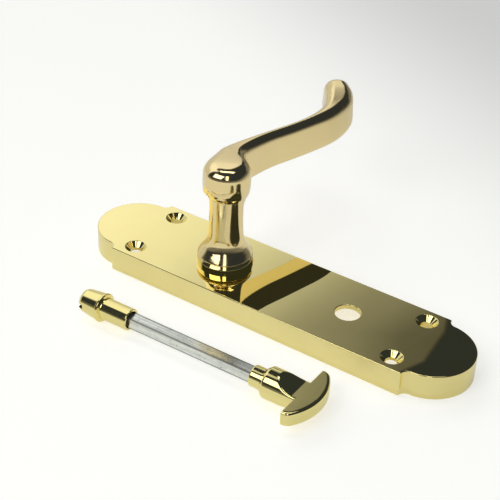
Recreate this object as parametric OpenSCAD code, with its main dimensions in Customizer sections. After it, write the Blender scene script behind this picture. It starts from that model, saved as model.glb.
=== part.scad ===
// Bathroom lever set on a shaped backplate, with its loose thumb turn and coin release.
// The backplate lies on its back. The lever's axis is Z, and the row of holes runs along X.
// All sizes are in millimetres. The mounting plane is z = 0.

/* [Backplate] */
// Length of the backplate
plate_l = 170; // [160:1:180]
// Width of the backplate
plate_w = 40; // [38:0.5:44]
// Height of the top face above the mounting plane
plate_h = 10.4; // [10:0.1:12]
// Thickness of the plate's walls
wall = 1.9; // [1.6:0.1:2.2]
// Distance of the plate's middle from the lever's axis
plate_mid_x = 24.7; // [23:0.1:26]
// Radius of the round ends
end_r = 17.1; // [16:0.1:18]
// Radius of the cove between a straight side and a round end
cove_r = 3; // [2.4:0.1:3.4]
// Centre distance from the lever to the thumb turn
turn_centres = 57; // [50:0.5:60]
// Radius of the hole for the thumb turn
turn_hole_r = 5; // [4.5:0.1:5.5]
// Spacing of the fixing screws along the plate
screw_spacing_x = 118; // [110:1:124]
// Spacing of the fixing screws across the plate
screw_spacing_y = 27; // [25:0.5:28]
// Radius of the fixing screws' holes
screw_hole_r = 2.25; // [2:0.05:2.5]
// Radius of the countersinks at the top face
countersink_r = 4.3; // [3.8:0.1:4.6]

/* [Lever] */
// Outer radius of the base ring and of the neck's foot
base_r = 11.1; // [10.5:0.1:11.5]
// Height of the base ring
base_h = 3.8; // [3.4:0.1:3.9]
// Radius of the spigot that turns in the bush
spigot_r = 7; // [6.8:0.05:7.2]
// Width of the square socket for the latch spindle
socket_w = 8.1; // [8:0.05:8.3]
// Depth of the square socket, from the spigot's end
socket_depth = 22; // [18:1:26]
// Height of the neck's foot above the plate
neck_foot_h = 4.1; // [4:0.1:5]
// Height of the arm's underside above the plate, half way along
arm_low_h = 28.2; // [27:0.1:30]
// Height of the arm's top above the plate, half way along
arm_top_h = 42.6; // [41:0.1:44]
// Radius of the round head on the lever's axis
head_r = 9; // [8.5:0.1:9.5]
// Angle that the lever turns through
lever_travel = 50; // [45:1:55]

/* [Spring mechanism] */
// Diameter of the torsion spring's wire
wire_d = 1.2; // [1:0.1:1.3]
// Mean radius of the torsion spring
coil_r = 12; // [11.8:0.1:12.2]
// Turns of the torsion spring between its legs
coil_turns = 2.15; // [1.15:1:2.15]
// Radius of the circle that the pins and the spring's legs lie on
pin_circle_r = 14.8; // [14.6:0.1:15]
// Radius of the stop pins and of the spring post
pin_r = 1.2; // [1:0.1:1.3]

/* [Thumb turn] */
// Width across the flats of the square turn spindle
turn_spindle_w = 4.5; // [4.4:0.1:4.8]
// Radius of the collar that turns in the plate
collar_r = 4.1; // [4:0.05:4.4]
// Radius of the boss behind the collar
boss_r = 6.2; // [6:0.1:6.5]
// Length of the thumb bar
bar_l = 29; // [27:0.5:31]
// Thickness of the thumb bar
bar_t = 6; // [5:0.1:6.5]

/* [Coin release] */
// Radius of the barrel
barrel_r = 4.3; // [4.2:0.05:4.5]
// Radius of the flange that seats on the outer plate
flange_r = 5.75; // [5.5:0.05:6]
// Width of the coin slot
coin_slot_w = 1.7; // [1.5:0.1:2]

/* [Layout of the loose set] */
// Distance of the set's axis in front of the lever's axis
set_y = -48.7; // [-56:0.1:-46]
// Turn of the set's axis away from the plate's long axis
set_yaw = 0.84; // [0:0.01:2]

/* [Hidden] */
$fn = 64;
// Overlap that joins two solids
eps = 0.01;
// Radial clearance of a turning fit, and clearance between two faces that slide
running_gap = 0.06;
face_gap = 0.05;

brass = [0.83, 0.68, 0.30];
steel = [0.62, 0.64, 0.66];
nylon = [0.90, 0.89, 0.84];

// Backplate: the ceiling inside, the centres of the two round ends, and of the coves beyond them
ceiling = plate_h - wall;
end_lo_x = plate_mid_x - plate_l / 2 + end_r;
end_hi_x = plate_mid_x + plate_l / 2 - end_r;
cove_shift = 1.4;
cove_lo_x = end_lo_x - cove_shift;
cove_hi_x = end_hi_x + cove_shift;
screw_boss_r = 5.6;
screw_boss_h = 3.2;
lever_boss_r = 10.6;
lever_bore_r = 8.5;
lever_boss_low = 5.4;
cover_post_x = 15;
cover_post_y = 13.5;
cover_post_r = 2.7;
pilot_r = 1.27;

// Stack under the plate, from the bush's flange down to the spigot's end
flange_low = 4.4;
driver_t = 1.3;
driver_top = flange_low - face_gap;
driver_low = driver_top - driver_t;
clip_low = 1.5;
clip_t = 1;
clip_groove_r = 6.3;
cover_low = 1.5;
cover_t = 1;
cover_hole_r = 9.4;
spigot_end = 0.6;
flat_w = 12.4;

// Angles about the lever's axis, anticlockwise from +X: the driver's arm at rest, and what it meets
arm_angle = 205;
arm_half_angle = 12;
stop_gap_angle = 5.8;
leg_angle = 7.1;
moving_leg_angle = arm_angle - leg_angle;
fixed_leg_angle = moving_leg_angle + (coil_turns - floor(coil_turns)) * 360;
rest_stop_angle = arm_angle + arm_half_angle + stop_gap_angle;
far_stop_angle = arm_angle - lever_travel - arm_half_angle - stop_gap_angle;
driver_arm_r = 15.6;
coil_top = ceiling - wire_d / 2 - 0.15;
coil_low = 5.15;

// Arm of the lever: [x, y, half width, rise of the underside, rise of the top] along its centre line
arm_stations = [
    [-1.2, 0.2, 7, 1.2, 2.4], [-4.9, 8.6, 6.3, 0.6, 1.8], [-5.9, 14.5, 5, 0.5, 1.4],
    [-5.2, 22.5, 4.1, 0.4, 1], [-2.9, 33.1, 3.5, 0.2, 0.5], [0.4, 44.2, 3.4, 0, 0.2],
    [2.9, 54.3, 3.6, -0.2, 0.1], [4.3, 62.6, 4.3, -0.3, 0.1], [4.3, 69.8, 5.1, -0.3, 0.5],
    [2.6, 76.8, 6.2, -0.1, 1.1], [-0.6, 82.3, 6.3, 0.3, 1.6], [-3.8, 86.2, 5.7, 1.1, 1.7],
    [-6.3, 89.2, 4.5, 2.7, 1], [-7.9, 90.8, 2.6, 5.2, -1]
];
arm_steps = 3;
arm_section = 20;
arm_squareness = 3.2;

// Neck and head: [height above the plate, radius]
neck_profile = [
    [neck_foot_h, base_r - 0.1], [5, 10.65], [6.4, 9.85], [7.8, 9], [9.6, 8], [11.8, 7.25],
    [14.8, 6.85], [20, 6.65], [25, 6.62], [30.2, 6.75], [30.8, 7.1], [31.6, 7.9], [32.8, 8.45],
    [34.4, head_r - 0.2], [36.8, head_r], [40.4, head_r]
];
head_top_h = 45;
head_edge_r = 4.6;

// Loose set: places along its own axis, from the lever's axis towards the knob
set_z = boss_r;
collar_x = 47;
boss_x = 53;
bar_x = 67.3;
bar_far_x = 75.3;
bar_edge_r = 21.8;
scallop_r = 10;
scallop_x = 66;
spindle_lo_x = -16.5;
spindle_hi_x = 62;
spindle_fit = 0.04;
grub_x = 56;
grub_r = 1.5;
washer_r = 5.1;
washer_t = 0.6;
barrel_x = -8.3;
flange_x = -21.2;
release_end_x = -30.5;
release_bore_r = 3.5;
release_bore_l = 4;
release_socket_w = 4.7;
release_socket_x = -24;
coin_slot_depth = 2.2;

// A smooth curve through the points of a list, with a number of steps between each two
function spline_point(a, b, c, d, t) =
    0.5 * (2 * b + (c - a) * t + (2 * a - 5 * b + 4 * c - d) * t * t
    + (3 * b - a - 3 * c + d) * t * t * t);

function spline(list, steps) = [
    for (i = [0 : len(list) - 2], k = [0 : steps - 1])
        spline_point(list[max(i - 1, 0)], list[i], list[i + 1],
            list[min(i + 2, len(list) - 1)], k / steps),
    list[len(list) - 1]
];

// A closed solid through rings of points that all have the same count, with a fan over each end
module skin(rings) {
    count = len(rings[0]);
    last = len(rings) - 1;
    start = (last + 1) * count;
    function middle(ring) = [for (axis = [0 : 2]) sum_of(ring, axis) / count];
    polyhedron(
        points = concat(
            [for (ring = rings, point = ring) point],
            [middle(rings[0]), middle(rings[last])]
        ),
        faces = [
            for (k = [0 : count - 1])
                let (n = (k + 1) % count)
                each concat(
                    [[start, n, k], [start + 1, last * count + k, last * count + n]],
                    [for (i = [0 : last - 1]) [i * count + k, i * count + n, (i + 1) * count + n]],
                    [for (i = [0 : last - 1])
                        [i * count + k, (i + 1) * count + n, (i + 1) * count + k]]
                )
        ]
    );
}

function sum_of(list, axis, i = 0) = i < len(list) ? list[i][axis] + sum_of(list, axis, i + 1) : 0;

// Outline of the backplate, drawn inset all round by d
module plate_outline(d = 0) {
    difference() {
        union() {
            translate([cove_lo_x, -plate_w / 2 + d])
                square([cove_hi_x - cove_lo_x, plate_w - 2 * d]);
            for (x = [end_lo_x, end_hi_x])
                translate([x, 0])
                    circle(r = end_r - d);
        }
        for (x = [cove_lo_x, cove_hi_x], s = [-1, 1])
            translate([x, s * plate_w / 2])
                circle(r = cove_r + d);
    }
}

module at_screws() {
    for (sx = [-1, 1], sy = [-1, 1])
        translate([plate_mid_x + sx * screw_spacing_x / 2, sy * screw_spacing_y / 2, 0])
            children();
}

module at_cover_posts() {
    for (sx = [-1, 1], sy = [-1, 1])
        translate([sx * cover_post_x, sy * cover_post_y, 0])
            children();
}

module backplate() color(brass) difference() {
    union() {
        difference() {
            linear_extrude(plate_h)
                plate_outline();
            translate([0, 0, -1])
                linear_extrude(ceiling + 1)
                    plate_outline(wall);
        }
        at_screws()
            translate([0, 0, plate_h - screw_boss_h])
                cylinder(r = screw_boss_r, h = screw_boss_h - wall / 2);
        at_cover_posts()
            translate([0, 0, cover_low + cover_t])
                cylinder(r = cover_post_r, h = ceiling - cover_low - cover_t + wall / 2);
        translate([0, 0, lever_boss_low])
            cylinder(r = lever_boss_r, h = ceiling - lever_boss_low + wall / 2);
    }
    translate([0, 0, -1])
        cylinder(r = lever_bore_r, h = plate_h + 2);
    translate([turn_centres, 0, -1])
        cylinder(r = turn_hole_r, h = plate_h + 2);
    at_screws() {
        translate([0, 0, -1])
            cylinder(r = screw_hole_r, h = plate_h + 2);
        translate([0, 0, plate_h - (countersink_r - screw_hole_r)])
            cylinder(r1 = screw_hole_r, r2 = countersink_r, h = countersink_r - screw_hole_r);
        translate([0, 0, plate_h - eps])
            cylinder(r = countersink_r, h = 1);
    }
    at_cover_posts()
        cylinder(r = pilot_r, h = ceiling - 1.2);
    for (a = [rest_stop_angle, far_stop_angle, fixed_leg_angle - leg_angle])
        rotate(a)
            translate([pin_circle_r, 0, ceiling - 1])
                cylinder(r = pin_r, h = 1.8);
}

module base_ring() color(brass) translate([0, 0, plate_h]) rotate_extrude()
    polygon([
        [lever_bore_r, 0], [base_r, 0], [base_r, base_h - 2.2], [base_r - 0.2, base_h - 1.3],
        [base_r - 0.7, base_h - 0.5], [base_r - 1.1, base_h], [lever_bore_r, base_h]
    ]);

module neck_washer() color(nylon) translate([0, 0, plate_h + base_h + face_gap]) difference() {
    cylinder(r = base_r - 1.6, h = neck_foot_h - base_h - face_gap);
    translate([0, 0, -1])
        cylinder(r = spigot_r + running_gap, h = 3);
}

// Neck, head and spigot, turned about the lever's axis
module lever_core() {
    edge = [
        for (a = [0 : 15 : 90])
            [head_r - head_edge_r * (1 - cos(a)),
                plate_h + head_top_h - head_edge_r * (1 - sin(a))]
    ];
    rotate_extrude()
        polygon(concat(
            [[0, plate_h + neck_foot_h]],
            [for (p = spline(neck_profile, 2)) [p[1], plate_h + p[0]]],
            edge,
            [[0, plate_h + head_top_h]]
        ));
    translate([0, 0, driver_top])
        cylinder(r = spigot_r, h = plate_h + neck_foot_h - driver_top + 1);
    intersection() {
        translate([0, 0, spigot_end])
            cylinder(r = spigot_r, h = driver_top - spigot_end + eps);
        translate([-flat_w / 2, -spigot_r, 0])
            cube([flat_w, 2 * spigot_r, driver_top + 1]);
    }
}

// One ring of the arm's section, square to the centre line
function arm_ring(p, heading) = [
    for (k = [0 : arm_section - 1])
        let (
            a = 360 * k / arm_section,
            low = plate_h + arm_low_h + p[3],
            top = plate_h + arm_top_h + p[4],
            u = sign(cos(a)) * pow(abs(cos(a)), 2 / arm_squareness) * p[2],
            v = sign(sin(a)) * pow(abs(sin(a)), 2 / arm_squareness) * (top - low) / 2
        )
        [p[0] + u * sin(heading), p[1] - u * cos(heading), (low + top) / 2 + v]
];

module lever_arm() {
    line = spline(arm_stations, arm_steps);
    last = len(line) - 1;
    skin([
        for (i = [0 : last])
            let (step = line[min(i + 1, last)] - line[max(i - 1, 0)])
            arm_ring(line[i], atan2(step[1], step[0]))
    ]);
}

module lever() color(brass) difference() {
    union() {
        lever_core();
        lever_arm();
    }
    translate([-socket_w / 2, -socket_w / 2, spigot_end - 1])
        cube([socket_w, socket_w, socket_depth + 1]);
    difference() {
        translate([0, 0, clip_low])
            cylinder(r = spigot_r + 1, h = clip_t);
        translate([0, 0, clip_low - 1])
            cylinder(r = clip_groove_r, h = clip_t + 2);
    }
}

module bearing_bush() color(nylon) rotate_extrude()
    polygon([
        [spigot_r + running_gap, flange_low], [lever_boss_r - 0.4, flange_low],
        [lever_boss_r - 0.4, lever_boss_low], [lever_bore_r, lever_boss_low],
        [lever_bore_r, plate_h + base_h], [spigot_r + running_gap, plate_h + base_h]
    ]);

// Disc keyed to the spigot's flats, with an arm and a bent lug that winds the spring
module spring_driver() color(steel) difference() {
    union() {
        translate([0, 0, driver_low])
            cylinder(r = lever_boss_r - 0.6, h = driver_t);
        translate([0, 0, driver_low])
            linear_extrude(driver_t)
                polygon(concat([[0, 0]], [
                    for (k = [-2 : 2])
                        let (a = arm_angle + k * arm_half_angle / 2)
                        driver_arm_r * [cos(a), sin(a)]
                ]));
        rotate(arm_angle)
            translate([pin_circle_r - 1, -1.1, driver_low])
                cube([1.7, 2.2, 7 - driver_low]);
    }
    intersection() {
        translate([0, 0, driver_low - 1])
            cylinder(r = spigot_r + 0.05, h = driver_t + 2);
        translate([-flat_w / 2 - 0.05, -spigot_r - 1, driver_low - 1])
            cube([flat_w + 0.1, 2 * spigot_r + 2, driver_t + 2]);
    }
}

// Centre line of the spring: a leg on the driver's lug, the coil, and a leg on the post
leg_bend = 4;
leg_r = [pin_circle_r + 0.6, coil_r + 1.2, coil_r + 0.35];
function around(angle, r, z) = [r * cos(angle), r * sin(angle), z];
coil_steps = 60;
spring_line = concat(
    [for (k = [0 : 2]) around(moving_leg_angle - [0, 0, 1][k] * leg_bend, leg_r[k], coil_low)],
    [for (k = [1 : coil_steps - 1])
        around(
            moving_leg_angle + (k / coil_steps) * 360 * coil_turns,
            coil_r,
            coil_low + (coil_top - coil_low) * k / coil_steps
        )],
    [for (k = [2 : -1 : 0]) around(fixed_leg_angle + [0, 0, 1][k] * leg_bend, leg_r[k], coil_top)]
);

// One ring of the wire: level across the wire, and square to its run seen from above
function wire_ring(p, step) =
    let (side = [step[1], -step[0], 0] / norm([step[0], step[1]]))
    [for (k = [0 : 7]) p + wire_d / 2 * (cos(45 * k) * side + sin(45 * k) * [0, 0, 1])];

module return_spring() color(steel) skin([
    for (i = [0 : len(spring_line) - 1])
        wire_ring(
            spring_line[i],
            spring_line[min(i + 1, len(spring_line) - 1)] - spring_line[max(i - 1, 0)]
        )
]);

module spring_cover() color(steel) translate([0, 0, cover_low]) difference() {
    linear_extrude(cover_t)
        union() {
            square([2 * cover_post_x + 5.6, 2 * cover_post_y], center = true);
            square([2 * cover_post_x, 2 * cover_post_y + 5.6], center = true);
            for (sx = [-1, 1], sy = [-1, 1])
                translate([sx * cover_post_x, sy * cover_post_y])
                    circle(r = 2.8);
        }
    translate([0, 0, -1])
        cylinder(r = cover_hole_r, h = cover_t + 2);
    at_cover_posts()
        translate([0, 0, -1])
            cylinder(r = pilot_r + 0.2, h = cover_t + 2);
}

module cover_screws() color(steel) at_cover_posts() difference() {
    union() {
        translate([0, 0, cover_low - 1.1])
            cylinder(r1 = 2, r2 = 2.3, h = 0.4);
        translate([0, 0, cover_low - 0.7])
            cylinder(r = 2.3, h = 0.7);
        translate([0, 0, cover_low - eps])
            cylinder(r = pilot_r - 0.02, h = 5);
    }
    for (a = [0, 90])
        rotate(a)
            translate([-1.2, -0.25, 0])
                cube([2.4, 0.5, cover_low - 0.5]);
}

// Washer with three waves round it, pressed nearly flat between the clip and the driver
module wave_washer() color(steel) {
    inner = spigot_r + 0.25;
    outer = spigot_r + 2;
    thick = 0.3;
    wave = (driver_low - clip_low - clip_t - thick) / 2 - 0.02;
    mid = (driver_low + clip_low + clip_t) / 2;
    count = 48;
    rings = [
        for (i = [0 : count - 1])
            let (a = 360 * i / count, z = mid + wave * cos(3 * a))
            [around(a, inner, z - thick / 2), around(a, outer, z - thick / 2),
                around(a, outer, z + thick / 2), around(a, inner, z + thick / 2)]
    ];
    polyhedron(
        points = [for (ring = rings, point = ring) point],
        faces = [
            for (i = [0 : count - 1], k = [0 : 3], half = [0, 1])
                let (a = 4 * i, b = 4 * ((i + 1) % count), n = (k + 1) % 4)
                half == 0 ? [a + k, b + k, b + n] : [a + k, b + n, a + n]
        ]
    );
}

module circlip() color(steel) translate([0, 0, clip_low + 0.02]) linear_extrude(clip_t - 0.04)
    difference() {
        union() {
            difference() {
                circle(r = 8.2);
                translate([7, 0])
                    square([6, 4], center = true);
            }
            for (s = [-1, 1])
                translate([7.3, s * 2.9])
                    circle(r = 1.3);
        }
        circle(r = clip_groove_r + 0.02);
        for (s = [-1, 1])
            translate([7.3, s * 2.9])
                circle(r = 0.55);
    }

module pin_at(angle, low) rotate(angle) translate([pin_circle_r, 0, low])
    cylinder(r = pin_r, h = ceiling + 0.8 - low);

module stop_pins() color(steel) {
    pin_at(rest_stop_angle, cover_low + cover_t + 0.1);
    pin_at(far_stop_angle, cover_low + cover_t + 0.1);
}

module spring_post() color(steel)
    pin_at(fixed_leg_angle - leg_angle, coil_low);

// Places the loose set, whose axis is X, on the surface in front of the plate
module in_set() translate([0, set_y, set_z]) rotate(set_yaw)
    children();

// A solid of revolution about the set's axis, from [x, radius] points
module turned(points) rotate([90, 0, 90]) rotate_extrude()
    polygon([for (p = points) [p[1], p[0]]]);

module thumb_bar() translate([0, 0, -bar_t / 2]) linear_extrude(bar_t) intersection() {
    translate([bar_far_x - bar_edge_r, 0])
        circle(r = bar_edge_r, $fn = 128);
    translate([bar_x, -bar_l / 2])
        square([20, bar_l]);
}

module turn_knob() color(brass) in_set() difference() {
    union() {
        turned([
            [collar_x, 0], [collar_x, collar_r - 0.3], [collar_x + 0.3, collar_r],
            [boss_x, collar_r], [boss_x, boss_r - 0.8], [boss_x + 0.25, boss_r - 0.25],
            [boss_x + 0.8, boss_r], [bar_x + 1.5, boss_r], [bar_x + 1.5, 0]
        ]);
        thumb_bar();
    }
    for (s = [-1, 1])
        translate([scallop_x, 0, s * (bar_t / 2 + scallop_r)])
            rotate([90, 0, 0])
                cylinder(r = scallop_r, h = 4 * boss_r, center = true);
    for (s = [-1, 1])
        translate([scallop_x, -2 * boss_r, s > 0 ? bar_t / 2 : -bar_t / 2 - boss_r])
            cube([10, 4 * boss_r, boss_r]);
    translate([collar_x - 1, -turn_spindle_w / 2 - spindle_fit, -turn_spindle_w / 2 - spindle_fit])
        cube([
            spindle_hi_x - collar_x + 1.1,
            turn_spindle_w + 2 * spindle_fit,
            turn_spindle_w + 2 * spindle_fit
        ]);
    translate([grub_x, 0, 0])
        rotate([-90, 0, 0])
            cylinder(r = grub_r + 0.02, h = boss_r + 1);
}

module turn_washer() color(brass) in_set() turned([
    [boss_x - face_gap - washer_t, collar_r + running_gap],
    [boss_x - face_gap - washer_t, washer_r],
    [boss_x - face_gap, washer_r],
    [boss_x - face_gap, collar_r + running_gap]
]);

// Runs along +Y, from the spindle's flat to just inside the boss
module grub_screw() color(steel) in_set() translate([grub_x, 0, 0]) rotate([-90, 0, 0]) difference() {
    translate([0, 0, turn_spindle_w / 2 + 0.02])
        cylinder(r = grub_r, h = boss_r - 0.4 - turn_spindle_w / 2 - 0.02);
    translate([0, 0, boss_r - 1.9])
        cylinder(r = 0.85, h = 1.9, $fn = 6);
}

module turn_spindle() color(steel) in_set()
    translate([spindle_lo_x, -turn_spindle_w / 2, -turn_spindle_w / 2])
        cube([spindle_hi_x - spindle_lo_x, turn_spindle_w, turn_spindle_w]);

module coin_release() color(brass) in_set() difference() {
    turned([
        [release_end_x, 0], [release_end_x, 3.9], [release_end_x + 0.3, 4.4],
        [release_end_x + 0.9, 4.7], [flange_x - 0.9, flange_r - 0.2], [flange_x - 0.6, flange_r],
        [flange_x, flange_r], [flange_x + 0.3, flange_r - 0.25], [flange_x + 0.6, barrel_r],
        [barrel_x - 0.3, barrel_r], [barrel_x, barrel_r - 0.3], [barrel_x, 0]
    ]);
    translate([barrel_x - release_bore_l, 0, 0])
        rotate([0, 90, 0])
            cylinder(r = release_bore_r, h = release_bore_l + 1);
    translate([release_socket_x, -release_socket_w / 2, -release_socket_w / 2])
        cube([barrel_x - release_socket_x - 1, release_socket_w, release_socket_w]);
    translate([release_end_x - 1, -flange_r, -coin_slot_w / 2])
        cube([coin_slot_depth + 1, 2 * flange_r, coin_slot_w]);
}

backplate();
base_ring();
neck_washer();
lever();
bearing_bush();
spring_driver();
return_spring();
spring_cover();
cover_screws();
wave_washer();
circlip();
stop_pins();
spring_post();
turn_knob();
turn_washer();
grub_screw();
turn_spindle();
coin_release();
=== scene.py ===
"""Bathroom lever on a shaped backplate, with its loose thumb turn, square spindle and coin release."""
import math

import bmesh
import bpy
import numpy as np
from mathutils import Matrix, Vector


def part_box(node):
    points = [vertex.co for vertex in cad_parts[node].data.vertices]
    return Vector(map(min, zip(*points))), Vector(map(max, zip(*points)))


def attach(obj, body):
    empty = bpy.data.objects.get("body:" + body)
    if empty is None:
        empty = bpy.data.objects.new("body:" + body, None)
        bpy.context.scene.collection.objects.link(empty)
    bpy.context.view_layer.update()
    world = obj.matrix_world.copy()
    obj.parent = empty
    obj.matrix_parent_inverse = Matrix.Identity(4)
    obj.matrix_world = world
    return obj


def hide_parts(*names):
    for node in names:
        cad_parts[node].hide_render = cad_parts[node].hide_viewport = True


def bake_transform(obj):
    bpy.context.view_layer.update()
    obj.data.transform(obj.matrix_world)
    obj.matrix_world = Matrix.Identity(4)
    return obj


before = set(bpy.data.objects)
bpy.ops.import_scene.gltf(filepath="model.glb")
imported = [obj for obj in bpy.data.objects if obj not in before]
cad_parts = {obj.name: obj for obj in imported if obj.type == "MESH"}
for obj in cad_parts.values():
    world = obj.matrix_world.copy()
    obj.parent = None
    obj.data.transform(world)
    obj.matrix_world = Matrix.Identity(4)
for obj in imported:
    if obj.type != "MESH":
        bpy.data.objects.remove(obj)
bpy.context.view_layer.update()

# Lengths below are in millimetres, in the frame of the CAD model
MM = 0.001


def corners(node):
    """Lowest and highest corner of a CAD node, in millimetres."""
    return [np.array(corner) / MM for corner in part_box(node)]


# ------------------------------------------------------------------ sizes
PLATE_LOW, PLATE_HIGH = corners("backplate")
PLATE_H = PLATE_HIGH[2]
PLATE_HALF_W = PLATE_HIGH[1]
PLATE_MID_X = (PLATE_LOW[0] + PLATE_HIGH[0]) / 2
# Round ends, and the coves between them and the straight sides
END_R = 17.1
COVE_R = 3.0
COVE_SHIFT = 1.4
END_LOW_X = PLATE_LOW[0] + END_R
END_HIGH_X = PLATE_HIGH[0] - END_R
WALL = 1.9
CEILING = PLATE_H - WALL
TURN_X = 57.0
TURN_HOLE_R = 5.0
SCREW_PLACES = [(PLATE_MID_X + x, y) for x in (-59, 59) for y in (-13.5, 13.5)]
SCREW_HOLE_R = 2.25
SCREW_BOSS_R = 5.6
SCREW_BOSS_H = 3.2
COUNTERSINK_R = 4.3
# Posts that the spring's cover is screwed to, and the boss that holds the bush
POST_PLACES = [(x, y) for x in (-15, 15) for y in (-13.5, 13.5)]
POST_R = 2.7
POST_LOW = 2.5
PILOT_R = 1.27
HUB_R = 10.6
HUB_LOW = 5.4
BORE_R = 8.5

# Lever: the foot of its neck, and the spigot with its flats and square socket
FOOT_Z = PLATE_H + 4.1
SPIGOT_R = 7.0
SPIGOT_LOW = 0.6
CLIP_GROOVE = (1.5, 2.5)
CLIP_GROOVE_R = 6.3
FLATS_HALF_W = 6.2
FLATS_TOP = 4.35
SOCKET_HALF_W = 4.05
SOCKET_TOP = 22.6

# Loose set: its axis, and the thumb turn's places along it
SET_Y = -48.7
SET_Z = 6.2
SET_YAW = 0.84
SET_MATRIX = Matrix.Translation((0, SET_Y, SET_Z)) @ Matrix.Rotation(math.radians(SET_YAW), 4, "Z")
COLLAR_X, COLLAR_R = 47.0, 4.1
BOSS_X, BOSS_R = 53.0, 6.2
BAR_X, BAR_HALF_T, BAR_HALF_L = 67.3, 3.0, 14.5
BAR_FACE_R = 21.8
BAR_FACE_X = 53.5
SCALLOP_X, SCALLOP_R = 66.0, 10.0
GRUB_X, GRUB_HOLE_R = 56.0, 1.52


# ------------------------------------------------------------------ mesh tools
def add_object(name, points, faces):
    """Object from points in millimetres, with its faces turned outwards."""
    mesh = bpy.data.meshes.new(name)
    mesh.from_pydata([tuple(float(c) * MM for c in p) for p in points], [], faces)
    work = bmesh.new()
    work.from_mesh(mesh)
    bmesh.ops.remove_doubles(work, verts=work.verts, dist=1e-7)
    bmesh.ops.recalc_face_normals(work, faces=work.faces)
    work.to_mesh(mesh)
    work.free()
    obj = bpy.data.objects.new(name, mesh)
    bpy.context.scene.collection.objects.link(obj)
    return obj


def rounded(points, steps=5):
    """Outline with its corners rounded: each point is (x, y) or (x, y, radius)."""
    result = []
    count = len(points)
    for i, point in enumerate(points):
        here = Vector(point[:2])
        radius = point[2] if len(point) > 2 else 0
        if radius == 0:
            result.append(tuple(here))
            continue
        back = (Vector(points[i - 1][:2]) - here).normalized()
        ahead = (Vector(points[(i + 1) % count][:2]) - here).normalized()
        half = back.angle(ahead) / 2
        centre = here + (back + ahead).normalized() * radius / math.sin(half)
        start = here + back * radius / math.tan(half) - centre
        end = here + ahead * radius / math.tan(half) - centre
        sweep = math.pi - 2 * half
        for k in range(steps + 1):
            a = sweep * k / steps
            arm = (start * math.sin(sweep - a) + end * math.sin(a)) / math.sin(sweep)
            result.append(tuple(centre + arm))
    return result


def turned(name, profile, count=96, closed=False):
    """Solid of revolution about Z from (radius, height) points; closed joins the last to the first."""
    points, rings = [], []
    for radius, height in profile:
        if radius < 1e-6:
            rings.append([len(points)] * count)
            points.append((0, 0, height))
            continue
        rings.append(list(range(len(points), len(points) + count)))
        for k in range(count):
            a = 2 * math.pi * k / count
            points.append((radius * math.cos(a), radius * math.sin(a), height))
    pairs = list(zip(rings, rings[1:]))
    if closed:
        pairs.append((rings[-1], rings[0]))
    faces = []
    for lower, upper in pairs:
        for k in range(count):
            n = (k + 1) % count
            face = list(dict.fromkeys((lower[k], lower[n], upper[n], upper[k])))
            if len(face) > 2:
                faces.append(face)
    return add_object(name, points, faces)


def box_solid(name, low, high):
    points = [(x, y, z) for x in (low[0], high[0]) for y in (low[1], high[1]) for z in (low[2], high[2])]
    faces = [(0, 1, 3, 2), (4, 6, 7, 5), (0, 4, 5, 1), (2, 3, 7, 6), (0, 2, 6, 4), (1, 5, 7, 3)]
    return add_object(name, points, faces)


def moved(obj, matrix):
    """Applies a matrix, in millimetres, to the object's mesh."""
    shift = matrix.copy()
    shift.translation = matrix.translation * MM
    obj.data.transform(shift)
    return obj


def combine(obj, tool, operation="DIFFERENCE"):
    """Exact boolean of the object's mesh with a tool, which is then removed."""
    modifier = obj.modifiers.new("combine", "BOOLEAN")
    modifier.operation = operation
    modifier.solver = "EXACT"
    modifier.object = tool
    bpy.context.view_layer.update()
    graph = bpy.context.evaluated_depsgraph_get()
    mesh = bpy.data.meshes.new_from_object(obj.evaluated_get(graph))
    obj.modifiers.clear()
    obj.data = mesh
    bpy.data.objects.remove(tool)
    return obj


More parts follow.
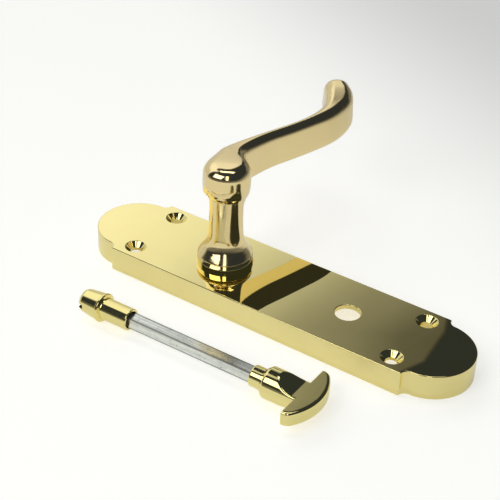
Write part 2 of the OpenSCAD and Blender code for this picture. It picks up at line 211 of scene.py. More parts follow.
def surface(name, distance, low, high, cell):
    """Quad mesh of the surface where distance(points) is 0, negative inside, with exact normals."""
    coarse = 4
    axes = [np.arange(lo - cell, hi + coarse * cell + cell, cell) for lo, hi in zip(low, high)]
    axes = [axis[: len(axis) - (len(axis) - 1) % coarse] for axis in axes]
    shape = tuple(len(axis) for axis in axes)
    rough_axes = [axis[::coarse] for axis in axes]
    rough = distance(np.stack(np.meshgrid(*rough_axes, indexing="ij"), -1).reshape(-1, 3))
    rough = rough.reshape([len(axis) for axis in rough_axes])
    values = rough
    for d in range(3):
        place = np.arange(shape[d]) / coarse
        index = np.minimum(place.astype(int), rough.shape[d] - 2)
        part = (place - index).reshape([-1 if k == d else 1 for k in range(3)])
        values = np.take(values, index, d) * (1 - part) + np.take(values, index + 1, d) * part
    near = np.abs(values) < 2.2 * cell * coarse * 0.5 + cell
    index = np.argwhere(near)
    exact = np.stack([axes[d][index[:, d]] for d in range(3)], -1)
    values[near] = distance(exact)

    inside = values < 0
    size = tuple(s - 1 for s in shape)

    def part_of(array, offset):
        return array[tuple(slice(o, o + s) for o, s in zip(offset, size))]

    total = np.zeros(size + (3,))
    crossings = np.zeros(size)
    base = np.stack(np.meshgrid(*[axis[:-1] for axis in axes], indexing="ij"), -1)
    for d in range(3):
        for a in (0, 1):
            for b in (0, 1):
                start = [a, b]
                start.insert(d, 0)
                end = list(start)
                end[d] = 1
                v0, v1 = part_of(values, start), part_of(values, end)
                cross = (v0 < 0) != (v1 < 0)
                t = np.where(cross, v0 / np.where(v0 == v1, 1, v0 - v1), 0)
                place = np.array(start, float) * cell + base
                place[..., d] += t * cell
                total += place * cross[..., None]
                crossings += cross
    active = crossings > 0
    number = np.full(size, -1)
    number[active] = np.arange(active.sum())
    points = total[active] / crossings[active][:, None]

    faces = []
    for d in range(3):
        u, v = [k for k in range(3) if k != d]
        low_side = [slice(None)] * 3
        high_side = [slice(None)] * 3
        low_side[d], high_side[d] = slice(0, -1), slice(1, None)
        change = inside[tuple(low_side)] != inside[tuple(high_side)]
        for edge in np.argwhere(change):
            if edge[u] == 0 or edge[v] == 0 or edge[u] >= size[u] or edge[v] >= size[v]:
                continue
            ring = []
            for du, dv in ((0, 0), (-1, 0), (-1, -1), (0, -1)):
                cell_index = edge.copy()
                cell_index[u] += du
                cell_index[v] += dv
                ring.append(int(number[tuple(cell_index)]))
            if inside[tuple(edge)] != (d != 1):
                ring.reverse()
            faces.append(ring)

    step = 0.02

    def gradient(p):
        return np.stack([
            (distance(p + step * axis) - distance(p - step * axis)) / (2 * step) for axis in np.eye(3)
        ], -1)

    def settle(p, rounds):
        for _ in range(rounds):
            g = gradient(p)
            shift = distance(p)[:, None] * g / np.maximum((g * g).sum(1), 0.05)[:, None]
            p = p - np.clip(shift, -cell, cell)
        return p

    quads = np.array(faces)
    points = settle(points, 2)
    for _ in range(3):
        middle = points[quads].mean(1)
        spread = np.zeros_like(points)
        share = np.zeros(len(points))
        for k in range(4):
            np.add.at(spread, quads[:, k], middle)
            np.add.at(share, quads[:, k], 1)
        points = settle(0.5 * points + 0.5 * spread / share[:, None], 1)
    points = settle(points, 1)
    normals = gradient(points)
    normals /= np.linalg.norm(normals, axis=1)[:, None]

    mesh = bpy.data.meshes.new(name)
    mesh.from_pydata((points * MM).tolist(), [], faces)
    obj = bpy.data.objects.new(name, mesh)
    bpy.context.scene.collection.objects.link(obj)
    return obj, normals


def smooth_min(a, b, reach):
    h = np.clip(reach - np.abs(a - b), 0, None) / reach
    return np.minimum(a, b) - h * h * reach / 4


def smooth_max(a, b, reach):
    return -smooth_min(-a, -b, reach)


def spline(points, steps):
    """Catmull-Rom curve through rows of numbers."""
    rows = np.array(points, float)
    result = []
    for i in range(len(rows) - 1):
        a, b = rows[max(i - 1, 0)], rows[i]
        c, d = rows[i + 1], rows[min(i + 2, len(rows) - 1)]
        for k in range(steps):
            t = k / steps
            result.append(0.5 * (2 * b + (c - a) * t + (2 * a - 5 * b + 4 * c - d) * t * t
                                 + (3 * b - a - 3 * c + d) * t ** 3))
    result.append(rows[-1])
    return np.array(result)


# ------------------------------------------------------------------ materials
class Graph:
    """Short ways to add shader nodes to a tree."""

    def __init__(self, tree):
        self.tree = tree

    def node(self, kind, **settings):
        made = self.tree.nodes.new(kind)
        for key, value in settings.items():
            setattr(made, key, value)
        return made

    def link(self, source, target):
        self.tree.links.new(source, target)

    def put(self, target, value):
        if isinstance(value, bpy.types.NodeSocket):
            self.link(value, target)
        else:
            target.default_value = value

    def math(self, operation, a, b=0.0, c=0.0):
        made = self.node("ShaderNodeMath", operation=operation)
        for socket, value in zip(made.inputs, (a, b, c)):
            self.put(socket, value)
        return made.outputs[0]

    def remap(self, value, low, high, to_low, to_high, kind="LINEAR"):
        made = self.node("ShaderNodeMapRange", interpolation_type=kind)
        for socket, given in zip(made.inputs, (value, low, high, to_low, to_high)):
            self.put(socket, given)
        return made.outputs[0]

    def ramp(self, value, stops):
        made = self.node("ShaderNodeValToRGB")
        elements = made.color_ramp.elements
        while len(elements) < len(stops):
            elements.new(0.5)
        for element, (place, level) in zip(elements, stops):
            element.position = place
            element.color = (level, level, level, 1)
        self.link(value, made.inputs[0])
        return made.outputs[0]

    def mix(self, factor, a, b):
        made = self.node("ShaderNodeMix", data_type="RGBA")
        self.put(made.inputs[0], factor)
        self.put(made.inputs[6], a)
        self.put(made.inputs[7], b)
        return made.outputs[2]

    def noise(self, vector, scale, detail=2.0, stretch=None):
        if stretch:
            mapping = self.node("ShaderNodeMapping")
            mapping.inputs["Scale"].default_value = stretch
            self.link(vector, mapping.inputs["Vector"])
            vector = mapping.outputs[0]
        made = self.node("ShaderNodeTexNoise")
        made.inputs["Scale"].default_value = scale
        made.inputs["Detail"].default_value = detail
        self.link(vector, made.inputs["Vector"])
        return made.outputs["Fac"]


def new_material(name):
    material = bpy.data.materials.new(name)
    material.use_nodes = True
    graph = Graph(material.node_tree)
    shader = material.node_tree.nodes["Principled BSDF"]
    place = graph.node("ShaderNodeTexCoord").outputs["Object"]
    return material, graph, shader, place


def brass(name, colour, deep, roughness, marks, ripple):
    """Polished brass: a slow drift of tone, smears, fine polishing marks and brighter worn edges."""
    material, graph, shader, place = new_material(name)
    shader.inputs["Metallic"].default_value = 1.0
    drift = graph.noise(place, 45, 3)
    tone = graph.mix(graph.remap(drift, 0.35, 0.7, 0, 1), (*deep, 1), (*colour, 1))
    edge = graph.remap(graph.node("ShaderNodeNewGeometry").outputs["Pointiness"], 0.51, 0.6, 0, 0.35)
    pale = tuple(min(1.0, c * 1.04 + 0.02) for c in colour)
    tone = graph.mix(edge, tone, (*pale, 1))
    graph.link(tone, shader.inputs["Base Color"])
    smear = graph.noise(place, 130, 5)
    lines = graph.noise(place, 900, 2, stretch=marks)
    rough = graph.remap(smear, 0.4, 0.75, roughness * 0.8, roughness * 1.35)
    rough = graph.math("ADD", rough, graph.remap(lines, 0.55, 0.8, 0, roughness * 0.5))
    graph.link(rough, shader.inputs["Roughness"])
    bump = graph.node("ShaderNodeBump")
    bump.inputs["Strength"].default_value = ripple
    bump.inputs["Distance"].default_value = 0.00002
    graph.link(graph.math("ADD", graph.noise(place, 260, 2), graph.math("MULTIPLY", lines, 0.35)),
               bump.inputs["Height"])
    graph.link(bump.outputs[0], shader.inputs["Normal"])
    return material


def painted_reflection_edges(graph, place, obj):
    """1 along the four long edges of a square bar that lies nearly along X, 0 on its faces: the mask where
    a dark reflection is painted.
    """
    points = np.array([v.co[:] for v in obj.data.vertices])
    middle = (points.min(0) + points.max(0)) / 2
    half = (points[:, 2].max() - points[:, 2].min()) / 2
    split = graph.node("ShaderNodeSeparateXYZ")
    graph.link(place, split.inputs[0])
    lean = SET_MATRIX[1][0] / SET_MATRIX[0][0]
    line = graph.math("MULTIPLY_ADD", split.outputs[0], lean, middle[1] - lean * middle[0])
    across = graph.math("ABSOLUTE", graph.math("SUBTRACT", split.outputs[1], line))
    up = graph.math("ABSOLUTE", graph.math("SUBTRACT", split.outputs[2], middle[2]))
    return graph.remap(graph.math("ADD", across, up), 2 * half - 0.00052, 2 * half - 0.0004, 0, 0.75)


def steel(name, colour, dark, roughness, stretch, bumps, mottling=0.5, bar=None):
    """Plated or drawn steel: streaks along the draw, mottled plating. A bar has dark specks, and a painted
    reflection darkens its edges.
    """
    material, graph, shader, place = new_material(name)
    shader.inputs["Metallic"].default_value = 0.9
    mottle = graph.noise(place, 420, 6)
    streak = graph.noise(place, 700, 3, stretch=stretch)
    blend = graph.math("MULTIPLY_ADD", mottle, mottling, graph.math("MULTIPLY", streak, 1 - mottling))
    tone = graph.mix(graph.remap(blend, 0.38, 0.62, 0, 1), (*dark, 1), (*colour, 1))
    if bar:
        speck = graph.remap(graph.noise(place, 900, 4), 0.66, 0.72, 0, 0.7)
        tone = graph.mix(speck, tone, (0.12, 0.11, 0.1, 1))
        # Painted reflection: the bar's long edges are darkened to stand for the dark surroundings mirrored
        # in their bevels.
        tone = graph.mix(painted_reflection_edges(graph, place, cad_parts[bar]), tone, (0.16, 0.155, 0.14, 1))
    graph.link(tone, shader.inputs["Base Color"])
    graph.link(graph.remap(blend, 0.3, 0.7, roughness * 1.3, roughness * 0.75), shader.inputs["Roughness"])
    bump = graph.node("ShaderNodeBump")
    bump.inputs["Strength"].default_value = bumps
    bump.inputs["Distance"].default_value = 0.00003
    graph.link(blend, bump.inputs["Height"])
    graph.link(bump.outputs[0], shader.inputs["Normal"])
    return material


def moulded(name, colour, shade, roughness):
    """Moulded nylon: a faint mottle and a fine bead-blasted skin."""
    material, graph, shader, place = new_material(name)
    mottle = graph.noise(place, 300, 4)
    graph.link(graph.mix(graph.remap(mottle, 0.35, 0.65, 0, 1), (*shade, 1), (*colour, 1)),
               shader.inputs["Base Color"])
    graph.link(graph.remap(mottle, 0.3, 0.7, roughness * 0.85, roughness * 1.2), shader.inputs["Roughness"])
    bump = graph.node("ShaderNodeBump")
    bump.inputs["Strength"].default_value = 0.3
    bump.inputs["Distance"].default_value = 0.00002
    graph.link(graph.noise(place, 3000, 2), bump.inputs["Height"])
    graph.link(bump.outputs[0], shader.inputs["Normal"])
    return material


MATERIALS = {
    "plate_brass": brass("plate_brass", (0.93, 0.82, 0.37), (0.90, 0.785, 0.34), 0.014, (6, 60, 60), 0.015),
    "lever_brass": brass("lever_brass", (0.95, 0.78, 0.41), (0.92, 0.75, 0.38), 0.11, (30, 8, 30), 0.10),
    "trim_brass": brass("trim_brass", (0.93, 0.79, 0.32), (0.90, 0.75, 0.29), 0.06, (10, 10, 80), 0.06),
    "turn_brass": brass("turn_brass", (0.94, 0.83, 0.36), (0.91, 0.80, 0.33), 0.07, (80, 8, 8), 0.06),
    "spindle_steel": steel("spindle_steel", (0.95, 0.97, 0.91), (0.66, 0.69, 0.63), 0.22, (0.05, 2.6, 2.6),
                           0.5, mottling=0.3, bar="turn_spindle"),
    "plated_steel": steel("plated_steel", (0.70, 0.70, 0.66), (0.58, 0.58, 0.55), 0.30, (20, 20, 20), 0.3),
    "spring_steel": steel("spring_steel", (0.42, 0.41, 0.40), (0.30, 0.29, 0.28), 0.28, (30, 30, 30), 0.3),
    "nylon": moulded("nylon", (0.86, 0.85, 0.80), (0.80, 0.79, 0.73), 0.42),
}


def dress(obj, slot):
    obj.data.materials.clear()
    obj.data.materials.append(MATERIALS[slot])


def finish_piece(obj, body, slot, node, sharp_angle=32):
    """Shading, body, slot and the CAD node that the piece stands for."""
    dress(obj, slot)
    if sharp_angle:
        obj.data.shade_smooth()
        obj.data.set_sharp_from_angle(angle=math.radians(sharp_angle))
        weighted = obj.modifiers.new("even normals", "WEIGHTED_NORMAL")
        weighted.keep_sharp = True
    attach(obj, body)
    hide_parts(node)


# ------------------------------------------------------------------ backplate
def plate_loop(inset, z):
    """Outline of the backplate inset all round, the same count of points at every inset."""
    corner_r = 0.3 if inset < 0.6 else 0.0
    cove_r = COVE_R + inset
    end_r = END_R - inset
    corner_y = PLATE_HALF_W - inset
    first = math.asin((inset + corner_r) / cove_r)
    corner_x = cove_r * math.cos(first) - COVE_SHIFT
    quarter = []
    for k in range(4):
        a = math.pi / 2 * k / 3
        quarter.append((corner_x + corner_r * (1 - math.sin(a)), corner_y - corner_r * (1 - math.cos(a))))
    for k in range(1, 14):
        a = math.pi + first + (math.pi / 2 - first) * k / 13
        quarter.append((-cove_r * math.cos(a) - COVE_SHIFT, PLATE_HALF_W + cove_r * math.sin(a)))
    for k in range(1, 33):
        a = math.acos(COVE_SHIFT / end_r) * (1 - k / 32)
        quarter.append((-end_r * math.cos(a), end_r * math.sin(a)))
    high_top = [(END_HIGH_X - x, y) for x, y in quarter]
    high_low = [(x, -y) for x, y in reversed(high_top[:-1])]
    low_low = [(END_LOW_X + x, -y) for x, y in quarter]
    low_top = [(x, -y) for x, y in reversed(low_low[:-1])]
    return [(x, y, z) for x, y in high_top + high_low + low_low + low_top]


def hole_cutter(name, profile, x, y):
    cutter = turned(name, profile, count=72)
    return moved(cutter, Matrix.Translation((x, y, 0)))


def flared(radius, top, flare):
    """Profile of a hole whose rim is rounded into the top face."""
    points = [(0, -1), (radius, -1)]
    for k in range(7):
        a = math.radians(80) * k / 6
        points.append((radius + flare * (1 - math.cos(a)), top - flare * (1 - math.sin(a))))
    return points + [(points[-1][0] + 1.2, top + 0.2), (0, top + 0.2)]


def make_plate():
    edge = 0.4
    levels = [(0.25, 0), (0.07, 0.08), (0, 0.3)]
    for k in range(6):
        a = math.pi / 2 * k / 5
        levels.append((edge * (1 - math.cos(a)), PLATE_H - edge * (1 - math.sin(a))))
    outer = [plate_loop(inset, z) for inset, z in levels]
    inner = [plate_loop(inset, z) for inset, z in
             ((WALL - 0.15, 0), (WALL, 0.15), (WALL, CEILING - 0.5), (WALL + 0.15, CEILING - 0.15),
              (WALL + 0.5, CEILING))]
    count = len(outer[0])
    loops = list(reversed(outer)) + inner
    points = [p for loop in loops for p in loop]
    faces = [list(range(count)), list(range((len(loops) - 1) * count, len(loops) * count))]
    for i in range(len(loops) - 1):
        for k in range(count):
            n = (k + 1) % count
            faces.append((i * count + k, i * count + n, (i + 1) * count + n, (i + 1) * count + k))
    plate = add_object("plate", points, faces)

    # Bosses, posts and hub reach into the ceiling
    top = CEILING + 0.6
    boss_low = PLATE_H - SCREW_BOSS_H
    for x, y in SCREW_PLACES:
        boss = turned("boss", rounded([(0, boss_low), (SCREW_BOSS_R, boss_low, 0.3), (SCREW_BOSS_R, top),
                                       (0, top)]), count=64)
        combine(plate, moved(boss, Matrix.Translation((x, y, 0))), "UNION")
    for x, y in POST_PLACES:
        post = turned("post", [(0, POST_LOW), (POST_R, POST_LOW), (POST_R, top), (0, top)], count=40)
        combine(plate, moved(post, Matrix.Translation((x, y, 0))), "UNION")
    hub = turned("hub", rounded([(0, HUB_LOW), (HUB_R, HUB_LOW, 0.3), (HUB_R, top), (0, top)]))
    combine(plate, hub, "UNION")

    bore = [(0, -1), (BORE_R, -1), (BORE_R, PLATE_H + 1), (0, PLATE_H + 1)]
    combine(plate, hole_cutter("bore", bore, 0, 0))
    combine(plate, hole_cutter("turn_hole", flared(TURN_HOLE_R, PLATE_H, 0.3), TURN_X, 0))
    sink = [(0, -1), (SCREW_HOLE_R, -1), (SCREW_HOLE_R, PLATE_H - (COUNTERSINK_R - SCREW_HOLE_R)),
            (COUNTERSINK_R - 0.15, PLATE_H - 0.15), (COUNTERSINK_R - 0.02, PLATE_H - 0.05),
            (COUNTERSINK_R + 0.12, PLATE_H), (COUNTERSINK_R + 0.6, PLATE_H + 0.2), (0, PLATE_H + 0.2)]
    for x, y in SCREW_PLACES:
        combine(plate, hole_cutter("sink", sink, x, y))
    pilot = [(0, 1), (PILOT_R, 1), (PILOT_R, CEILING - 1.4), (0, CEILING - 1)]
    for x, y in POST_PLACES:
        combine(plate, hole_cutter("pilot", pilot, x, y))
    finish_piece(plate, "root", "plate_brass", "backplate")


def make_base_ring():
    low, high = corners("base_ring")
    rise = high[2] - low[2]
    # (radius, share of the height) up the outside
    wall = [(11.3, 0), (11.02, 0.64), (10.9, 0.7), (10.6, 0.79), (10.2, 0.91), (9.95, 1)]
    ring = turned("seat_ring", [(BORE_R, low[2])] + [(r, low[2] + rise * t) for r, t in wall]
                  + [(BORE_R, high[2])], closed=True, count=128)
    finish_piece(ring, "root", "trim_brass", "base_ring")


# ------------------------------------------------------------------ lever
# Neck and head: (radius, height above the plate); the head's wall runs on above its top
NECK = spline([
    (11, 4.45), (10.78, 4.9), (10, 6.1), (9.1, 7.4), (8.3, 8.7), (7.45, 10.9), (6.95, 13.7), (6.67, 19),
    (6.62, 25), (6.72, 30.5)
], 10)
HEAD = [(7.1, 30.75, 0.15), (7.9, 31.6), (8.45, 32.8), (8.8, 34.4), (9, 36.8), (9, 60), (-20, 60)]
LEVER_PROFILE = (
    [(-20, 4.1), (10.6, 4.1), (10.95, 4.25)] + [tuple(p) for p in NECK]
    + rounded([(6.72, 30.5)] + HEAD, 12)[1:]
)
# Arm: (x, y, half width, underside and top above the plate, radius of the upper and lower edges)
ARM = spline([
    (1.3, -4.6, 5, 36, 44.99, 4.7, 1.2), (-1.2, 0.2, 6.9, 30, 44.9, 4.7, 1.2),
    (-4.9, 8.6, 6.3, 28.8, 44.35, 3.6, 1.2), (-5.9, 14.5, 4.95, 28.7, 43.9, 3.4, 1.2),
    (-5.15, 22.5, 4.05, 28.6, 43.4, 3.3, 1.2), (-2.85, 33.1, 3.45, 28.5, 43, 3.1, 1.2),
    (0.4, 44.2, 3.35, 28.3, 42.7, 3.1, 1.2),
    (2.9, 54.3, 3.5, 28.1, 42.6, 3.2, 1.3), (4.25, 62.6, 4.25, 28, 42.7, 3.5, 1.8),
    (4.3, 69.8, 5.1, 27.9, 43, 3.6, 2.8), (2.6, 76.8, 6.2, 28.1, 43.6, 3.8, 4),
    (-0.6, 82.3, 6.35, 28.5, 44, 4, 4.8), (-3.5, 85.9, 5.9, 29.2, 44.1, 4.2, 4.8)
], 8)
# Reach of the arm's round caps past its tip and past its start, and how square they are
ARM_CAP = 6.3
ARM_START_CAP = 2.5
CAP_POWER = 2.2
# Reach of the blend between head and arm, and the arm's narrowing with height
HEAD_BLEND = 4.5
DRAFT = 0.06


def core_distance(r, z):
    """Signed distance to the neck and head, which are turned about the lever's axis."""
    nearest = np.full(len(r), 1e9)
    inside = np.zeros(len(r), bool)
    for (ax, az), (bx, bz) in zip(LEVER_PROFILE, LEVER_PROFILE[1:] + LEVER_PROFILE[:1]):
        ex, ez = bx - ax, bz - az
        length = ex * ex + ez * ez
        if length < 1e-12:
            continue
        t = np.clip(((r - ax) * ex + (z - az) * ez) / length, 0, 1)
        nearest = np.minimum(nearest, (r - ax - t * ex) ** 2 + (z - az - t * ez) ** 2)
        if az != bz:
            inside ^= ((az > z) != (bz > z)) & (r < ex * (z - az) / ez + ax)
    return np.sqrt(nearest) * np.where(inside, -1, 1)


def arm_section(x, y):
    """Arm's sizes at the nearest place on its centre line, and the distance outside its plan."""
    nearest = np.full(len(x), 1e9)
    found = np.zeros((len(x), 8))
    for i in range(len(ARM) - 1):
        a, b = ARM[i], ARM[i + 1]
        along = b[:2] - a[:2]
        length = np.hypot(*along)
        along = along / length
        t = np.clip(((x - a[0]) * along[0] + (y - a[1]) * along[1]) / length, 0, 1)
        ox, oy = x - a[0] - t * length * along[0], y - a[1] - t * length * along[1]
        gap = ox * ox + oy * oy
        better = gap < nearest
        nearest[better] = gap[better]
        row = a[2:] + t[better, None] * (b - a)[2:]
        past = (ox * along[0] + oy * along[1])[better]
        side = (oy * along[0] - ox * along[1])[better]
        found[better] = np.column_stack([row, past, side, (t + i)[better]])
    half, low, top, over, under, past, side, place = found.T
    cap = np.where(place < 1, ARM_START_CAP, ARM_CAP)
    inner = (place > 0.001) & (place < len(ARM) - 1.001)
    u = np.abs(side) / half
    w = np.abs(np.where(inner, 0, past)) / cap
    m = CAP_POWER
    total = (u ** m + w ** m + 1e-12) ** (1 / m)
    slope = np.hypot((u / total) ** (m - 1) / half, (w / total) ** (m - 1) / cap)
    return low, top, over, under, (total - 1) / np.maximum(slope, 1e-3)


def round_max(a, b, radius):
    """Meeting of two half spaces with a round edge."""
    return (np.minimum(-radius, np.maximum(a, b))
            + np.hypot(np.maximum(a + radius, 0), np.maximum(b + radius, 0)))


def lever_distance(p):
    x, y, z = p[:, 0], p[:, 1], p[:, 2] - PLATE_H
    low, top, over, under, plan = arm_section(x, y)
    plan = plan + DRAFT * (z - low - 6)
    walls = smooth_min(core_distance(np.hypot(x, y), z), round_max(plan, low - z, under), HEAD_BLEND)
    socket = np.maximum(np.maximum(np.abs(x), np.abs(y)) - SOCKET_HALF_W, z + PLATE_H - SOCKET_TOP)
    return np.maximum(round_max(walls, z - top, over), -socket)


def make_lever():
    low, high = corners("lever")
    body, normals = surface("lever_handle", lever_distance, (low[0], low[1], FOOT_Z), high,
                            0.5)
    body.data.shade_smooth()
    body.data.normals_split_custom_set_from_vertices(normals.tolist())

    groove_low, groove_high = CLIP_GROOVE
    spigot = turned("lever_spigot", rounded([
        (0, SPIGOT_LOW), (SPIGOT_R, SPIGOT_LOW, 0.3), (SPIGOT_R, groove_low), (CLIP_GROOVE_R, groove_low),
        (CLIP_GROOVE_R, groove_high), (SPIGOT_R, groove_high), (SPIGOT_R, FOOT_Z + 1), (0, FOOT_Z + 1)
    ], 3), count=96)
    for near, far in ((-9, -FLATS_HALF_W), (FLATS_HALF_W, 9)):
        combine(spigot, box_solid("flat", (near, -9, -1), (far, 9, FLATS_TOP)))
    combine(spigot, box_solid("socket", (-SOCKET_HALF_W, -SOCKET_HALF_W, -1),
                              (SOCKET_HALF_W, SOCKET_HALF_W, FOOT_Z + 2)))
    finish_piece(spigot, "lever_turn", "lever_brass", "lever")
    finish_piece(body, "lever_turn", "lever_brass", "lever", sharp_angle=0)


# ------------------------------------------------------------------ spring
def make_spring():
    """Torsion spring: a leg on the driver's lug, the coil, and a leg on the post. Angles in degrees."""
    ceiling_z, floor_z, radius = 7.75, 5.15, 12.0
    turns, start, bend = 2.15, 197.9, 4.0
    end = start + turns * 360
    # Radii along a leg, from its tip to the coil
    legs = (15.4, 13.2, 12.35)
    rows = [(start - (bend if k == 2 else 0), legs[k], floor_z) for k in range(3)]
    steps = 190
    rows += [(start + k / steps * 360 * turns, radius, floor_z + (ceiling_z - floor_z) * k / steps)
             for k in range(4, steps - 3)]
    rows += [(end + (bend if k == 2 else 0), legs[k], ceiling_z) for k in (2, 1, 0)]
    line = np.array([(r * math.cos(math.radians(a)), r * math.sin(math.radians(a)), z) for a, r, z in rows])
    sides, wire_r = 12, 0.6
    points = []
    for i, p in enumerate(line):
        run = line[min(i + 1, len(line) - 1)] - line[max(i - 1, 0)]
        side = np.array([run[1], -run[0], 0]) / np.hypot(run[0], run[1])
        for k in range(sides):
            a = 2 * math.pi * k / sides
            points.append(p + wire_r * (math.cos(a) * side + math.sin(a) * np.array([0, 0, 1])))
    faces = [list(range(sides)), list(range(len(points) - sides, len(points)))]
    for i in range(len(line) - 1):
        for k in range(sides):
            n = (k + 1) % sides
            faces.append((i * sides + k, i * sides + n, (i + 1) * sides + n, (i + 1) * sides + k))
    spring = add_object("torsion_spring", points, faces)
    dress(spring, "spring_steel")
    spring.data.shade_smooth()
    spring.data.set_sharp_from_angle(angle=math.radians(50))
    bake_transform(spring)
    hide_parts("return_spring")


# ------------------------------------------------------------------ loose set
def knob_distance(p):
    """Thumb turn: collar, boss scalloped down to a web, and a curved thumb bar across its end."""
    x, y, z = p.T
    radial = np.hypot(y, z)
    collar = smooth_max(radial - COLLAR_R, np.maximum(COLLAR_X - x, x - BOSS_X - 2), 0.4)
    boss = smooth_max(radial - BOSS_R, np.maximum(BOSS_X - x, x - BAR_X - 1.5), 1.2)
    past_web = np.abs(z) - BAR_HALF_T
    scallop = np.where(x < SCALLOP_X, SCALLOP_R - np.hypot(x - SCALLOP_X, past_web - SCALLOP_R), past_web)
    boss = smooth_max(boss, scallop, 0.5)
    face = np.hypot(x - BAR_FACE_X, y) - BAR_FACE_R
    bar = smooth_max(smooth_max(face, np.abs(y) - BAR_HALF_L, 1.6), past_web, 1.3)
    bar = smooth_max(bar, BAR_X - x, 0.3)
    solid = np.minimum(smooth_min(collar, boss, 0.15), bar)
    grub_hole = np.maximum(np.hypot(x - GRUB_X, z) - GRUB_HOLE_R, 2.3 - y)
    return smooth_max(solid, -grub_hole, 0.2)


def make_knob():
    knob, normals = surface("thumb_knob", knob_distance, (46.5, -15, -6.7), (76, 15, 6.7),
                            0.3)
    moved(knob, SET_MATRIX)
    turn = np.array(SET_MATRIX.to_3x3())
    knob.data.shade_smooth()
    knob.data.normals_split_custom_set_from_vertices((normals @ turn.T).tolist())
    finish_piece(knob, "thumb_turn", "turn_brass", "turn_knob", sharp_angle=0)


def make_release():
    """Coin release: barrel, flange and tapered head, bored and broached for the spindle."""
    bore_r, socket_half, slot_half = 3.5, 2.35, 0.85
    along = Matrix.Rotation(math.pi / 2, 4, "Y")
    body = turned("coin_turn", rounded([
        (0, -30.5), (4.25, -30.5, 0.35), (4.7, -29.4, 0.3), (5.5, -22.15, 0.1), (5.75, -21.9, 0.12),
        (5.75, -21.2, 0.25), (5.45, -20.85), (4.35, -20.6, 0.1), (4.3, -20.2), (4.3, -8.3, 0.35), (0, -8.3)
    ], 4), count=128)
    moved(body, along)
    bore = turned("bore", [(0, -12.3), (bore_r, -12.3), (bore_r, -7), (0, -7)], count=96)
    combine(body, moved(bore, along))
    combine(body, box_solid("socket", (-24, -socket_half, -socket_half), (-11, socket_half, socket_half)))
    combine(body, box_solid("slot", (-31.5, -6, -slot_half), (-28.3, 6, slot_half)))
    moved(body, SET_MATRIX)
    bevel = body.modifiers.new("softened edges", "BEVEL")
    bevel.width = 0.12 * MM
    bevel.segments = 2
    bevel.limit_method = "ANGLE"
    bevel.angle_limit = math.radians(50)
    finish_piece(body, "release", "turn_brass", "coin_release")


def dress_cad(node, slot, width):
    """A CAD node that stays visible gets its material and softened edges."""
    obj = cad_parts[node]
    dress(obj, slot)
    if width:
        bevel = obj.modifiers.new("softened edges", "BEVEL")
        bevel.width = width * MM
        bevel.segments = 2
        bevel.limit_method = "ANGLE"
        bevel.angle_limit = math.radians(40)
        bevel.harden_normals = False


make_plate()
make_base_ring()
make_lever()
make_spring()
make_knob()
make_release()
for node, slot, width in (
    ("turn_spindle", "spindle_steel", 0.32),
    ("neck_washer", "nylon", 0.0),
    ("bearing_bush", "nylon", 0.0),
    ("turn_washer", "trim_brass", 0.1),
    ("spring_driver", "plated_steel", 0.1),
    ("spring_cover", "plated_steel", 0.1),
    ("cover_screws", "plated_steel", 0.0),
    ("stop_pins", "plated_steel", 0.1),
    ("spring_post", "plated_steel", 0.1),
    ("grub_screw", "plated_steel", 0.0),
    ("wave_washer", "spring_steel", 0.0),
    ("circlip", "spring_steel", 0.1),
):
    dress_cad(node, slot, width)


# ------------------------------------------------------------------ room, light and camera
def make_floor():
    """Pale surface that the set lies on, with a painted glow that is stronger for camera rays, and painted
    shade that makes it duller towards the back.
    """
    half = 6.0
    corner_points = [(-half, -half, 0), (half, -half, 0), (half, half, 0), (-half, half, 0)]
    mesh = bpy.data.meshes.new("floor")
    mesh.from_pydata(corner_points, [], [(0, 1, 2, 3)])
    floor = bpy.data.objects.new("floor", mesh)
    bpy.context.scene.collection.objects.link(floor)
    material = bpy.data.materials.new("floor")
    material.use_nodes = True
    graph = Graph(material.node_tree)
    shader = material.node_tree.nodes["Principled BSDF"]
    shader.inputs["Roughness"].default_value = 0.9
    shader.inputs["Specular IOR Level"].default_value = 0.1
    shader.inputs["Emission Color"].default_value = (1.0, 1.0, 0.97, 1)
    place = graph.node("ShaderNodeSeparateXYZ")
    graph.link(graph.node("ShaderNodeTexCoord").outputs["Object"], place.inputs[0])
    away = graph.math("MULTIPLY_ADD", place.outputs[0], 0.5, place.outputs[1])
    # Painted shade: the floor's glow and colour fall off towards the back.
    painted_shade_falloff = graph.remap(away, 0.09, 0.3, 1, 0.55, "SMOOTHSTEP")
    # Painted glow: the floor emits light, more strongly to camera rays than to rays reflected off the set.
    seen = graph.node("ShaderNodeLightPath").outputs["Is Camera Ray"]
    painted_glow_strength = graph.math("MULTIPLY_ADD", seen, 0.25, 0.35)
    graph.link(graph.math("MULTIPLY", painted_glow_strength, painted_shade_falloff), shader.inputs["Emission Strength"])
    tone = graph.mix(painted_shade_falloff, (0.55, 0.56, 0.56, 1), (0.82, 0.82, 0.80, 1))
    graph.link(tone, shader.inputs["Base Color"])
    mesh.materials.append(material)


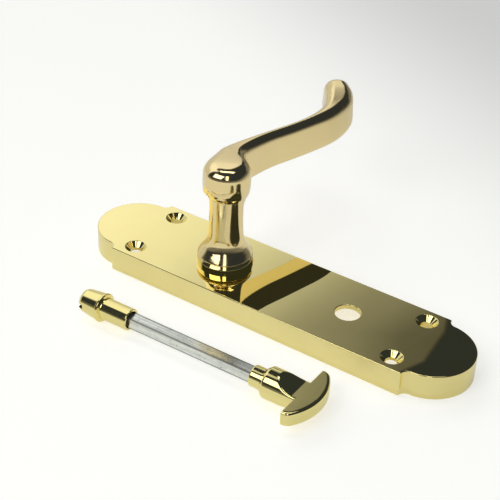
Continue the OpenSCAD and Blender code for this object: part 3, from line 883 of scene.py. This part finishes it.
def make_world():
    """A bright studio wall on the left, fading to the right, a dim horizon, and dark felt elsewhere."""
    world = bpy.data.worlds.new("studio")
    bpy.context.scene.world = world
    world.use_nodes = True
    graph = Graph(world.node_tree)
    split = graph.node("ShaderNodeSeparateXYZ")
    graph.link(graph.node("ShaderNodeTexCoord").outputs["Generated"], split.inputs[0])
    x, y, z = split.outputs
    # Bearing from the middle of the bright wall, and elevation, in degrees
    middle = math.radians(170)
    ahead = graph.math("ADD", graph.math("MULTIPLY", x, math.cos(middle)),
                       graph.math("MULTIPLY", y, math.sin(middle)))
    across = graph.math("SUBTRACT", graph.math("MULTIPLY", y, math.cos(middle)),
                        graph.math("MULTIPLY", x, math.sin(middle)))
    bearing = graph.math("DEGREES", graph.math("ARCTAN2", across, ahead))
    elevation = graph.math("DEGREES", graph.math("ARCSINE", z))
    height = graph.math("MINIMUM", graph.math("MAXIMUM", elevation, 25.0), 36.8)
    tilt = graph.math("MULTIPLY", graph.math("SUBTRACT", 36.0, height), 1.6)
    into = graph.math("ADD", graph.math("ADD", bearing, 58.0), tilt)
    level = graph.ramp(graph.remap(into, -5, 25, 0, 1), (
        (0.0, 0.06), (0.16, 0.105), (0.22, 0.125), (0.30, 0.22), (0.37, 0.27), (0.43, 0.35), (0.475, 0.44),
        (0.79, 0.93), (0.95, 1.05)
    ))
    lean = graph.math("MULTIPLY", graph.math("MAXIMUM", graph.math("SUBTRACT", elevation, 36.3), 0.0), 0.62)
    curl = graph.math("MULTIPLY", graph.math("MAXIMUM", graph.math("SUBTRACT", elevation, 37.7), 0.0), 1.4)
    edge = graph.math("ADD", graph.math("ADD", lean, curl), -57.4)
    past_edge = graph.math("SUBTRACT", bearing, edge)
    wall = graph.math("MULTIPLY", level, graph.remap(past_edge, -0.15, 0.15, 0, 1))
    wall = graph.math("MULTIPLY", wall, graph.remap(bearing, 24, 40, 1, 0, "SMOOTHSTEP"))
    wall = graph.math("MULTIPLY", wall, graph.remap(elevation, 62, 72, 1, 0, "SMOOTHSTEP"))
    wall = graph.math("MULTIPLY", wall, graph.remap(elevation, 20, 33.5, 0.6, 1, "SMOOTHSTEP"))
    far = graph.math("MULTIPLY", graph.remap(bearing, -62, -70, 0, 0.2, "SMOOTHSTEP"),
                     graph.remap(bearing, -110, -98, 0, 1, "SMOOTHSTEP"))
    far = graph.math("MULTIPLY", far, graph.remap(elevation, 14, 26, 1, 0, "SMOOTHSTEP"))
    horizon = graph.math("MULTIPLY", graph.remap(elevation, 3, 21, 0.20, 0, "SMOOTHSTEP"),
                         graph.remap(elevation, -2, 2, 0, 1))
    wall = graph.math("MAXIMUM", graph.math("MAXIMUM", wall, far), horizon)
    colour = graph.node("ShaderNodeCombineColor")
    for socket, felt in zip(colour.inputs, (0.03, 0.036, 0.05)):
        graph.link(graph.math("MAXIMUM", wall, felt), socket)
    background = world.node_tree.nodes["Background"]
    graph.link(colour.outputs[0], background.inputs["Color"])
    background.inputs["Strength"].default_value = 1.0


def softbox(name, azimuth, elevation, wide, high, radiance, distance=1.3):
    """Rectangular studio light aimed at the lever, sized in degrees as seen from there."""
    data = bpy.data.lights.new(name, "AREA")
    data.shape = "RECTANGLE"
    data.size = 2 * distance * math.tan(math.radians(wide / 2))
    data.size_y = 2 * distance * math.tan(math.radians(high / 2))
    data.energy = radiance * math.pi * data.size * data.size_y
    data.color = (1.0, 0.99, 0.95)
    light = bpy.data.objects.new(name, data)
    bpy.context.scene.collection.objects.link(light)
    a, e = math.radians(azimuth), math.radians(elevation)
    away = Vector((math.cos(a) * math.cos(e), math.sin(a) * math.cos(e), math.sin(e)))
    light.location = Vector((0.02, 0, 0.03)) + away * distance
    light.rotation_euler = (-away).to_track_quat("-Z", "Y").to_euler()


def make_camera():
    data = bpy.data.cameras.new("camera")
    data.sensor_width = 36
    data.lens = 96.09
    data.clip_start = 0.01
    data.clip_end = 30
    camera = bpy.data.objects.new("camera", data)
    bpy.context.scene.collection.objects.link(camera)
    right = Vector((0.82321, 0.56652, 0.03717)).normalized()
    back = Vector((0.45469, -0.69709, 0.55436)).normalized()
    up = back.cross(right).normalized()
    right = up.cross(back)
    turn = Matrix((right, up, back)).transposed()
    camera.matrix_world = Matrix.Translation((0.24795, -0.36219, 0.30831)) @ turn.to_4x4()
    bpy.context.scene.camera = camera


make_floor()
make_world()
softbox("window_left", -102, 42, 34, 30, 2.2)
softbox("window_front", -57, 40, 10, 38, 1.8)
softbox("window_overhead", 110, 80, 34, 14, 2.2)
make_camera()
bpy.context.scene.view_settings.view_transform = "Standard"
